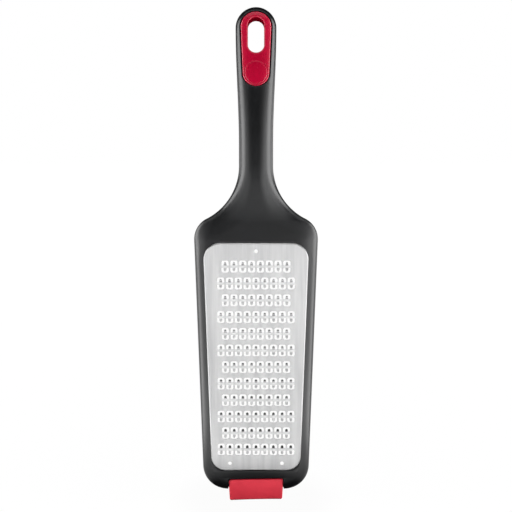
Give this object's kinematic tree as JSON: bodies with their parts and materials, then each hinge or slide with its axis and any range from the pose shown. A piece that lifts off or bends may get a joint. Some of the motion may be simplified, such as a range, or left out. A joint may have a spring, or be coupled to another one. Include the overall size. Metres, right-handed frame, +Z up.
{
  "type": "hand grater",
  "caption": "Flat hand grater with a steel plate of two-way raised teeth in a black frame, long bent-back handle with a red-lined hanging slot and a red anti-slip foot.",
  "frame": {"origin": "centre of the hanging slot in the handle's end", "axes": "+Z up along the grating plate, towards the handle, as the grater hangs; -Y out of the grating face; +X to the right seen from the front"},
  "size_m": [0.0812, 0.0247, 0.3247],
  "materials": {
    "black_nylon": "fine satin moulding",
    "stainless_sheet": "brushed along the plate",
    "red_plastic": "smooth gloss",
    "red_silicone": "soft matte"
  },
  "bodies": {
    "root": {"body": "black_nylon", "grating_plate": "stainless_sheet", "hanging_insert": "red_plastic", "anti_slip_foot": "red_silicone"}
  },
  "joints": []
}
